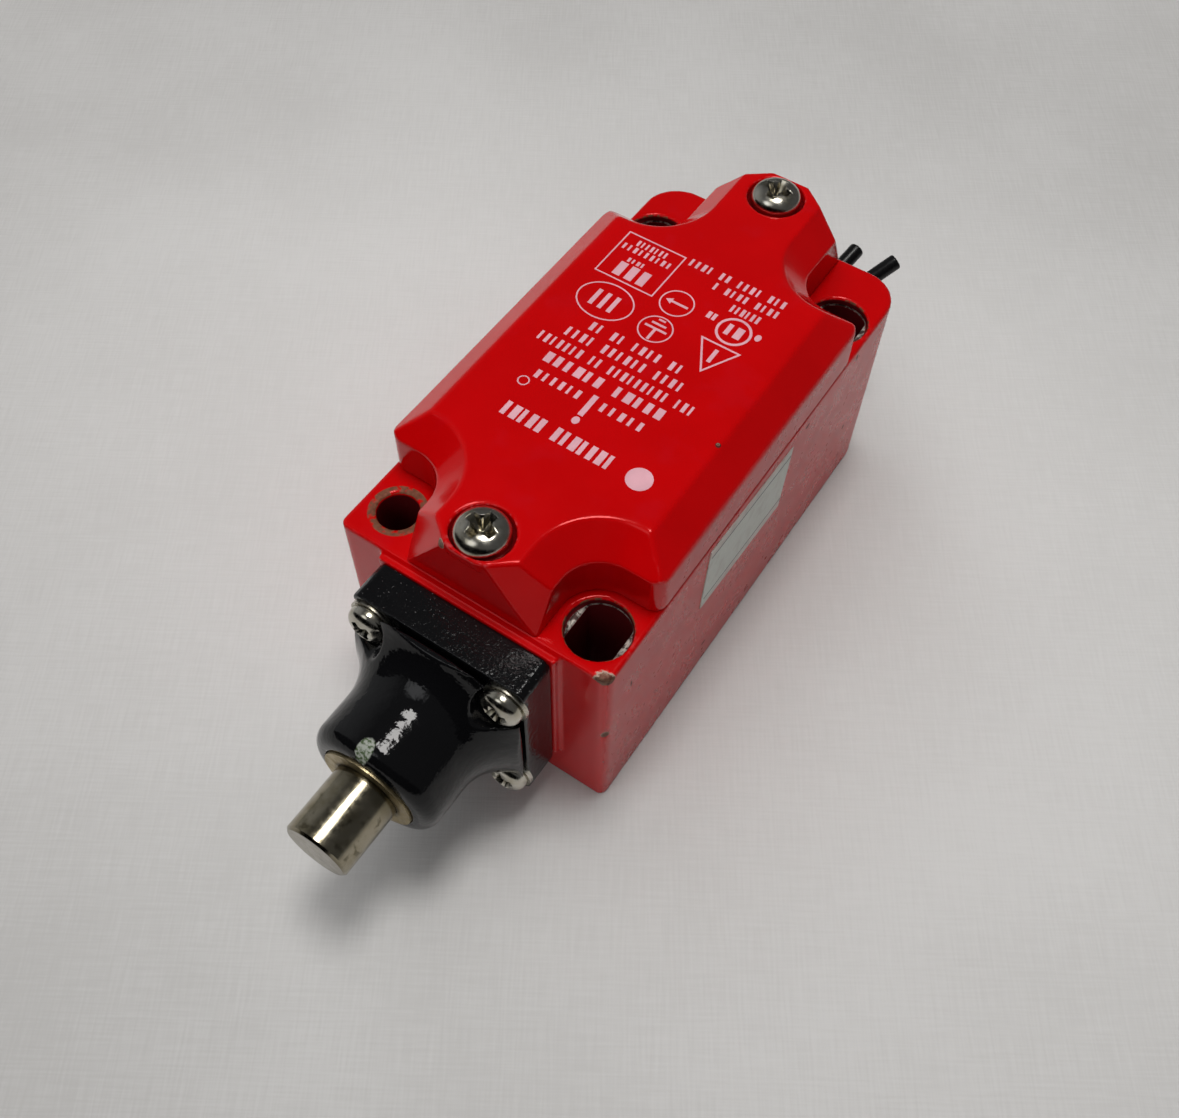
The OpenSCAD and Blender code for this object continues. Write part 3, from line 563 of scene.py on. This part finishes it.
def rings_of(mesh):
    """The two ends of each edge, the neighbours of each vertex, and the places of the vertices."""
    co = np.zeros(len(mesh.vertices) * 3)
    mesh.vertices.foreach_get("co", co)
    pairs = np.zeros(len(mesh.edges) * 2, int)
    mesh.edges.foreach_get("vertices", pairs)
    a, b = pairs.reshape(-1, 2).T
    count = np.bincount(a, minlength=len(mesh.vertices)) + np.bincount(b, minlength=len(mesh.vertices))
    return a, b, count, co.reshape(-1, 3)


def neighbour_mean(a, b, count, values):
    total = [np.bincount(a, values[b, k], len(count)) + np.bincount(b, values[a, k], len(count))
             for k in range(values.shape[1])]
    return np.stack(total, 1) / count[:, None]


def mark_edges(mesh):
    """Stores how sharply the surface bends outwards at each vertex, in 1 / mm, as "edge"."""
    a, b, count, co = rings_of(mesh)
    co = co / MM
    normal = np.zeros(len(co) * 3)
    mesh.vertices.foreach_get("normal", normal)
    reach = np.linalg.norm(co[a] - co[b], axis=1) ** 2
    size = (np.bincount(a, reach, len(co)) + np.bincount(b, reach, len(co))) / count
    bend = ((co - neighbour_mean(a, b, count, co)) * normal.reshape(-1, 3)).sum(1) / size
    bend = neighbour_mean(a, b, count, bend[:, None])[:, 0]
    mesh.attributes.new("edge", "FLOAT", "POINT").data.foreach_set("value", bend.astype(np.float32))


def casting(node, name, voxel, passes, share=1.0, carve=None, extra=None):
    """A copy of a CAD node whose sharp edges are softened as on a painted casting. extra is a
    mesh that is added first, passes gives the smoothing steps of each vertex from its place in
    millimetres, share is the part of the faces to keep, and carve may move the vertices further."""
    work = bmesh.new()
    work.from_mesh(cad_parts[node].data)
    bmesh.ops.remove_doubles(work, verts=work.verts, dist=2e-7)
    if extra:
        work.from_mesh(extra)
    mesh = bpy.data.meshes.new(name)
    work.to_mesh(mesh)
    work.free()
    mesh = modified(mesh, "REMESH", mode="VOXEL", voxel_size=voxel * MM)
    a, b, count, co = rings_of(mesh)
    steps = passes(co / MM)
    for step in range(int(steps.max())):
        here = 0.5 * np.clip(steps - step, 0, 1)[:, None]
        co = co + here * (neighbour_mean(a, b, count, co) - co)
    if carve:
        co = carve(co / MM) * MM
    mesh.vertices.foreach_set("co", co.ravel())
    mesh.update()
    mark_edges(mesh)
    if share < 1:
        mesh = modified(mesh, "DECIMATE", ratio=share)
    for face in mesh.polygons:
        face.use_smooth = True
    mesh = modified(mesh, "WEIGHTED_NORMAL", mode="FACE_AREA", weight=50)
    mesh.name = name
    piece = add_object(name, mesh)
    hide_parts(node)
    return piece


def even(count):
    return lambda place: np.full(len(place), float(count))


def chip_off(co, corner, away, depth):
    """Cuts a ragged flat off a corner."""
    away = np.array(away) / np.linalg.norm(away)
    over = (co - corner) @ away + depth
    ragged = 0.12 * np.sin(5.1 * co[:, 0] + 2.0) * np.sin(4.3 * co[:, 1]) * np.sin(6.7 * co[:, 2])
    return co - np.clip(over + ragged, 0, None)[:, None] * away


def carve_housing(co):
    """The chipped near right corner, and the nick half-way down the edge below it."""
    nick = (19.65, -35.15, 18.6)
    co = chip_off(co, (20, -35.5, BASE_TOP), (0.75, -0.6, 0.9), 0.6)
    near = np.abs(co[:, 2] - nick[2]) < 1.0
    return chip_off(co, nick, (1, -1, 0), np.where(near, 0.1, -0.25))


def cover_steps(place):
    """Softer on the long sloping sides than round the screws and scallops."""
    inside = np.clip((25 - np.abs(place[:, 1] - 2)) / 4, 0, 1)
    return 4 + 10 * inside * (place[:, 2] > 36)


def pocket_lip():
    """The thin wall in front of the near cover screw."""
    verts = []
    steps = 40
    foot = COVER_TOP - 1.6
    for k in range(steps + 1):
        turn = math.radians(200 + 3.5 * k)
        front = -math.sin(turn)
        inner = 4.02 - 0.6 * max(front, 0) ** 2.5
        outer = min(4.3, 3.78 / max(front, 0.1))
        for radius, z in ((inner, foot), (inner, COVER_TOP), (outer, COVER_TOP), (outer, foot)):
            y = radius * math.sin(turn) + NEAR_POCKET[1]
            verts.append((radius * math.cos(turn) * MM, y * MM, z * MM))
    last = 4 * steps
    faces = [(0, 1, 2, 3), (last + 3, last + 2, last + 1, last)]
    for k in range(steps):
        for c in range(4):
            a = 4 * k + c
            b = 4 * k + (c + 1) % 4
            faces.append((b, a, a + 4, b + 4))
    mesh = bpy.data.meshes.new("pocket_lip")
    mesh.from_pydata(verts, [], faces)
    return mesh


housing = casting("housing", "housing_cast", 0.26, even(2), 0.25, carve_housing)
cover = casting("cover", "cover_cast", 0.22, cover_steps, 0.5, extra=pocket_lip())
head = casting("actuator_head", "head_cast", 0.2, even(5), 0.7)


# ---------------------------------------------------------------- screws

def lathe(work, profile, sides=48):
    """Adds a solid of revolution round Z to a bmesh. profile runs from the top to the foot."""
    rows = []
    for radius, height in profile:
        if radius < 1e-6:
            rows.append([work.verts.new((0, 0, height))])
        else:
            rows.append([work.verts.new((radius * math.cos(2 * math.pi * k / sides),
                                         radius * math.sin(2 * math.pi * k / sides), height))
                         for k in range(sides)])
    for upper, lower in zip(rows, rows[1:]):
        for k in range(sides):
            n = (k + 1) % sides
            if len(upper) == 1:
                work.faces.new((upper[0], lower[k], lower[n]))
            elif len(lower) == 1:
                work.faces.new((upper[k], lower[0], upper[n]))
            else:
                work.faces.new((upper[k], lower[k], lower[n], upper[n]))


def pan_screw(head_d, head_h, shank_d, shank):
    """A pan-head screw with a tapered cross recess: head above z = 0, in millimetres."""
    work = bmesh.new()
    rim = 0.22 * head_h
    profile = [(0, head_h)]
    for k in range(1, 13):
        turn = math.radians(90 * k / 12)
        profile.append((head_d / 2 * math.sin(turn) ** 0.8,
                        rim + (head_h - rim) * math.cos(turn) ** 0.8))
    profile += [(head_d / 2, 0.08), (head_d / 2 - 0.12, 0), (shank_d / 2, 0), (shank_d / 2, -shank),
                (0, -shank)]
    lathe(work, profile)
    bmesh.ops.recalc_face_normals(work, faces=work.faces)
    body = bpy.data.meshes.new("screw_body")
    work.to_mesh(body)
    work.free()
    # the recess narrows towards its bottom, and its wings meet in rounded corners
    wing, half, inner = 0.31 * head_d, 0.09 * head_d, 0.14 * head_d
    quarter = [(wing, -half), (wing, half), (inner * 1.15, half * 1.15), (half * 1.15, inner * 1.15)]
    outline = []
    for q in range(4):
        c, s = [(1, 0), (0, 1), (-1, 0), (0, -1)][q]
        outline += [(c * x - s * y, s * x + c * y) for x, y in quarter]
    depth = 0.68 * head_h
    levels = [(head_h + 0.6, 1.14), (head_h - 0.05, 1.0), (head_h - 0.75 * depth, 0.55),
              (head_h - depth, 0.2)]
    verts = [(x * grow, y * grow, z) for z, grow in levels for x, y in outline]
    n = len(outline)
    faces = [tuple(range(n)), tuple(reversed(range(3 * n, 4 * n)))]
    for level in range(3):
        for k in range(n):
            a, b = level * n + k, level * n + (k + 1) % n
            faces.append((b, a, a + n, b + n))
    cutter_mesh = bpy.data.meshes.new("screw_cutter")
    cutter_mesh.from_pydata(verts, [], faces)
    cutter = bpy.data.objects.new("screw_cutter", cutter_mesh)
    scene.collection.objects.link(cutter)
    made = modified(body, "BOOLEAN", operation="DIFFERENCE", object=cutter, solver="EXACT")
    bpy.data.objects.remove(cutter)
    bpy.data.meshes.remove(cutter_mesh)
    made = modified(made, "BEVEL", width=0.06, segments=2, limit_method="ANGLE",
                    angle_limit=math.radians(32))
    # how far under the dome each vertex of the recess lies
    deep = []
    for vert in made.vertices:
        reach = min(vert.co.xy.length / (head_d / 2), 1)
        dome = rim + (head_h - rim) * (1 - reach ** 2.5) ** 0.4
        under = (dome - vert.co.z) / (0.35 * head_h)
        deep.append(max(min(under, 1), 0) * (vert.co.z > 0.1 and reach < 0.8))
    made.attributes.new("deep", "FLOAT", "POINT").data.foreach_set("value", deep)
    return made


def recess_grime_and_shade(f):
    """Grime and painted shade in the bottom of the cross recess."""
    return f.times(f.ramp(f.attribute("deep"), 0.05, 0.6), 0.85)


def placed_screws(name, screw, seats, node):
    """Copies of a screw at seats, (place, turn, axis), as one piece that replaces a CAD node."""
    work = bmesh.new()
    for place, turn, axis in seats:
        one = screw.copy()
        lean = Vector((0, 0, 1)).rotation_difference(Vector(axis)).to_matrix().to_4x4()
        one.transform(Matrix.Scale(MM, 4) @ Matrix.Translation(place) @ lean
                      @ Matrix.Rotation(math.radians(turn), 4, "Z"))
        work.from_mesh(one)
        bpy.data.meshes.remove(one)
    mesh = bpy.data.meshes.new(name)
    work.to_mesh(mesh)
    work.free()
    piece = add_object(name, mesh)
    piece.data.set_sharp_from_angle(angle=math.radians(40))
    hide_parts(node)
    return piece


UP = (0, 0, 1)
OUT = (0, -1, 0)
COVER_SEAT_Z = 41.6
cover_screws = placed_screws("cover_pan_screws", pan_screw(7.1, 2.8, 4, 13.4),
                             [((-0.05, -31.7, COVER_SEAT_Z), -12, UP), ((0, 36.5, COVER_SEAT_Z), -4, UP)],
                             "cover_screws")
head_seats = [((x, -42.3, AXIS_Z + z), turn, OUT)
              for x, z, turn in ((-10, 9.5, 40), (10, 9.5, 15), (-10, -9.5, 70), (10, -9.5, 25))]
head_screws = placed_screws("head_pan_screws", pan_screw(5.5, 2.1, 3, 9.8), head_seats,
                            "head_screws")


# ---------------------------------------------------------------- print and label lines

def prism(work, outer, inner, low, high, place):
    """Adds a closed flat piece with one outline, and a hole if inner is given. place turns
    (u, v, height) in millimetres into a point."""
    loops = []
    for outline in (outer, inner):
        if outline:
            loops.append([[work.verts.new(place(u, v, h)) for u, v in outline] for h in (low, high)])
    for (bottom, top), flip in zip(loops, (False, True)):
        n = len(top)
        for k in range(n):
            face = (bottom[k], bottom[(k + 1) % n], top[(k + 1) % n], top[k])
            work.faces.new(tuple(reversed(face)) if flip else face)
    if len(loops) == 1:
        work.faces.new(loops[0][1])
        work.faces.new(tuple(reversed(loops[0][0])))
        return
    for level, flip in ((1, False), (0, True)):
        out, hole = loops[0][level], loops[1][level]
        n = len(out)
        for k in range(n):
            face = (out[k], out[(k + 1) % n], hole[(k + 1) % n], hole[k])
            work.faces.new(tuple(reversed(face)) if flip else face)


def oval(u, v, ru, rv, sides=48):
    return [(u + ru * math.cos(2 * math.pi * k / sides), v + rv * math.sin(2 * math.pi * k / sides))
            for k in range(sides)]


def bar(u0, v0, u1, v1):
    return [(u0, v0), (u1, v0), (u1, v1), (u0, v1)]


def shrunk(outline, by):
    """An outline moved inwards by a distance."""
    out = []
    n = len(outline)
    for k in range(n):
        p, q, r = (Vector(outline[(k + d) % n]) for d in (-1, 0, 1))
        e, g = (q - p).normalized(), (r - q).normalized()
        inward = Vector((-e.y, e.x)) + Vector((-g.y, g.x))
        out.append(tuple(q + inward * (by / (1 + e.dot(g)))))
    return out


def flat_piece(name, shapes, low, high, place):
    """One piece of flat shapes, each an outline and its hole or None."""
    work = bmesh.new()
    for outer, inner in shapes:
        prism(work, outer, inner, low, high, place)
    mesh = bpy.data.meshes.new(name)
    work.to_mesh(mesh)
    work.free()
    return add_object(name, mesh, smooth=False)


def bars(u0, u1, v0, v1, words, fill=0.55):
    """A line of print as rows of plain bars, one row for each word."""
    pitch = (u1 - u0) / (sum(words) + 0.9 * (len(words) - 1))
    shapes = []
    u = u0
    for count in words:
        for k in range(count):
            share = fill * (1.0 + 0.28 * math.sin(2.4 * k + 1.7 * count + u0))
            shapes.append((bar(u, v0, u + pitch * share, v1), None))
            u += pitch
        u += 0.9 * pitch
    return shapes


def ring(u, v, ru, rv, width):
    return (oval(u, v, ru, rv), oval(u, v, ru - width, rv - width))


def frame_of(outline, width):
    return (outline, shrunk(outline, width))


# the cover's print as plain bars, rings and signs; lengths in millimetres from the cover's middle
PRINT = []
PRINT += bars(-8.9, 7.3, -16.4, -14.2, (5, 7), 0.6)
PRINT += [(oval(10.7, -15.35, 1.7, 1.7, 32), None)]
PRINT += bars(-8.8, -1.6, -9.4, -8.0, (6,), 0.4) + bars(0.9, 7.6, -9.4, -8.0, (5,), 0.4)
PRINT += [(bar(-0.85, -11.3, -0.1, -7.6), None), (oval(-0.47, -12.2, 0.5, 0.6, 20), None)]
PRINT += [ring(-9.35, -10.6, 0.8, 0.8, 0.18)]
PRINT += bars(-9.4, 8.4, -6.55, -4.8, (6, 5), 0.56)
PRINT += bars(-12.2, 11.1, -3.9, -2.35, (7, 2, 9, 3), 0.42)
PRINT += bars(-9.7, 8.1, -1.4, 0.15, (4, 6, 4), 0.42)
PRINT += bars(-7.6, 6.5, 1.05, 2.55, (2, 2, 4, 2), 0.42)
PRINT += [frame_of([(7.9, 2.9), (10.8, 8.3), (4.9, 8.3)], 0.26), (bar(7.6, 4.9, 8.15, 7.3), None)]
PRINT += [ring(8.0, 11.15, 2.4, 2.4, 0.36), (bar(6.9, 10.2, 7.55, 12.2), None)]
PRINT += [(bar(8.2, 10.2, 9.2, 12.2), None)]
PRINT += bars(5.6, 10.1, 13.95, 15.3, (6,), 0.5)
PRINT += bars(3.6, 5.2, 11.4, 12.6, (2,), 0.6) + [(oval(11.1, 11.95, 0.42, 0.6, 16), None)]
PRINT += bars(1.75, 11.75, 16.15, 17.45, (1, 4, 4), 0.45)
PRINT += bars(-3.1, 11.7, 18.15, 19.5, (4, 2, 4, 3), 0.45)
PRINT += [ring(-0.6, 11.3, 2.35, 2.35, 0.19)]
PRINT += [([(-2.25, 11.3), (-1.35, 10.75), (-1.35, 11.12), (1.05, 11.12), (1.05, 11.48), (-1.35, 11.48),
            (-1.35, 11.85)], None)]
PRINT += [ring(-0.5, 5.9, 2.35, 2.35, 0.19), (bar(-0.7, 3.9, -0.3, 5.8), None)]
PRINT += [(bar(-2.1, 5.8, 1.1, 6.15), None)]
PRINT += [(bar(-1.55, 6.65, 0.55, 6.98), None), (bar(-1.0, 7.48, 0.0, 7.78), None)]
PRINT += [ring(-8.5, 6.4, 4.05, 3.25, 0.2)]
PRINT += [(bar(u, 4.9, u + 0.62, 7.9), None) for u in (-10.3, -8.9, -7.5)]
PRINT += [frame_of(bar(-12.9, 10.45, -3.9, 19.2), 0.2)]
PRINT += bars(-10.8, -5.9, 17.3, 18.4, (7,), 0.42) + bars(-12.2, -4.4, 15.9, 17.0, (9,), 0.42)
PRINT += bars(-10.2, -7.4, 14.1, 14.9, (4,), 0.5)
PRINT += [(bar(u, 11.2, u + 1.15, 13.8), None) for u in (-10.7, -8.9, -7.1)]
print_marks = flat_piece("cover_print", PRINT, -0.05, 0.025,
                         lambda u, v, h: (u * MM, v * MM, (COVER_TOP + h) * MM))

LABEL_X = 20.15
LABEL_Y, LABEL_Z = -2.3, 24.9
LABEL_TILT = math.radians(-3.5)


def on_label(u, v, h):
    """A point u along and v up the label, h proud of it, in metres."""
    c, s = math.cos(LABEL_TILT), math.sin(LABEL_TILT)
    return ((LABEL_X + h) * MM, (LABEL_Y + c * u - s * v) * MM, (LABEL_Z + s * u + c * v) * MM)


LABEL_LINES = [(bar(-10.2, 4.45, 10.5, 4.68), None), (bar(-10.2, -4.5, 10.5, -4.3), None)]
label_lines = flat_piece("label_lines", LABEL_LINES, -0.03, 0.015, on_label)


# ---------------------------------------------------------------- finishes on the pieces

def root_grime(f):
    """Yellow tarnish where the plunger meets the bush, and in patches."""
    patches = f.ramp(f.noise(1.3, 4), 0.56, 0.68)
    nose = f.ramp(f.axis("Y"), -66.4, -66.75, 0.0, 0.5)
    return f.times(f.most(f.ramp(f.axis("Y"), -60.5, -57.2), patches, nose), 0.7)


def bush_grime(f):
    """Dirt in the gap round the plunger."""
    away = f.distance((0, 0, AXIS_Z), (1, 0, 1))
    return f.times(f.ramp(away, 5.2, 4.6), f.ramp(f.noise(0.8, 4), 0.3, 0.5, 0.4, 0.9))


# chips and specks: place, radius and scale in millimetres
BASE_CHIPS = [((19.4, -35.2, 32.7), 1.25, (0.7, 0.9, 1.6)), ((19.8, -35.3, 18.6), 0.7, (1, 1, 0.7))]
BASE_SPECKS = [((20, -30.1, 24.8), 0.3, (1, 1.5, 0.4)), ((20, 29.5, 13.6), 0.4, (1, 1, 1)),
               ((20, -9.8, 5.2), 0.3, (1, 0.5, 1)), ((20, 26.8, 31.4), 0.35, (1, 1, 0.6)),
               ((20, 12.8, 30.6), 0.35, (1, 0.6, 1)), ((20, -20, 9), 0.2, (1, 1, 1)),
               ((20, 4, 14), 0.2, (1, 1, 1)), ((19.8, -35.3, 10.5), 0.3, (1, 1, 0.6))]
COVER_CHIPS = [((-3.4, -35.2, 41.9), 0.62, (1, 1, 0.8)), ((15.62, -5.6, 42.7), 0.22, (1, 1, 1))]
COVER_SPECKS = [((19.8, -12, 36), 0.25, (1, 0.6, 1)), ((19.8, 18, 37), 0.25, (1, 0.5, 1)),
                ((15.7, -5.7, 42.7), 0.4, (1, 1, 1))]
NICKEL = (0.6, 0.575, 0.51)
SPRING_STEEL = (0.5, 0.5, 0.49)
give(cloth(), floor)
give(card(), flag)
give(red_paint("red_paint_base", BASE_CHIPS, BASE_SPECKS, holes=True), housing)
give(red_paint("red_paint_cover", COVER_CHIPS, COVER_SPECKS,
               pockets=(NEAR_POCKET, FAR_POCKET)), cover)
give(black_enamel(), head)
# the screws' cross recesses get painted shade with some grime
give(metal("screw_nickel", NICKEL, 0.2, grime_and_shade=recess_grime_and_shade), cover_screws, head_screws)
give(metal("washer_steel", NICKEL, 0.3), "head_screw_washers")
give(metal("plunger_nickel", (0.36, 0.325, 0.245), 0.18, 0.22, 0.006, (1, 0.08, 1), root_grime),
     "plunger", "plunger_clip")
give(metal("bush_bronze", (0.45, 0.37, 0.22), 0.42, grime_and_shade=bush_grime), "plunger_bush")
give(label_paper(), "side_label")
give(plastic("print_ink", (0.76, 0.4, 0.46), 0.4), print_marks)
give(plastic("label_ink", (0.1, 0.1, 0.09), 0.5), label_lines)
give(plastic("rubber_seal", (0.02, 0.02, 0.021), 0.7), "cover_gasket", "head_gasket", "plunger_seal")
give(plastic("block_black", (0.03, 0.032, 0.035), 0.4), "contact_block_base")
give(plastic("block_grey", (0.1, 0.1, 0.105), 0.4), "contact_block_cover")
give(plastic("carrier_beige", (0.6, 0.5, 0.34), 0.45), "contact_carrier")
give(metal("spring_steel", SPRING_STEEL, 0.2), "spring_seat", "nc_contact_spring")
give(metal("contact_brass", (0.72, 0.5, 0.2), 0.25), "nc_bridge", "no_bridge", "nc_terminal_left",
     "nc_terminal_right", "no_terminal_left", "no_terminal_right")
give(metal("contact_silver", (0.8, 0.78, 0.74), 0.2), "nc_bridge_tips", "no_bridge_tips",
     "nc_fixed_tips", "no_fixed_tips")
give(metal("terminal_steel", (0.56, 0.55, 0.5), 0.25), "terminal_clamps", "terminal_screws",
     "earth_clamp", "earth_screw", "block_screws")
give(plastic("wire_black", (0.004, 0.004, 0.0044), 0.3, Specular_IOR_Level=0.25), *wires)

# ---------------------------------------------------------------- springs

# node, body, joint, the end it shortens towards, and the share of its length that it keeps
SPRINGS = [
    ("plunger_spring", "switch_body", "plunger_slide", -37.7, 0.554),
    ("carrier_spring", "switch_body", "carrier_slide", 12.0, 0.315),
    ("no_contact_spring", "no_bridge", "no_bridge_slide", -12.6, 0.63),
]
spring_finish = metal("spring_wire", SPRING_STEEL, 0.2)
for node, body, joint, anchor, keep in SPRINGS:
    piece = add_object(node + "_coil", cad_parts[node].data.copy(), body=body)
    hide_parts(node)
    give(spring_finish, piece)
    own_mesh(piece)
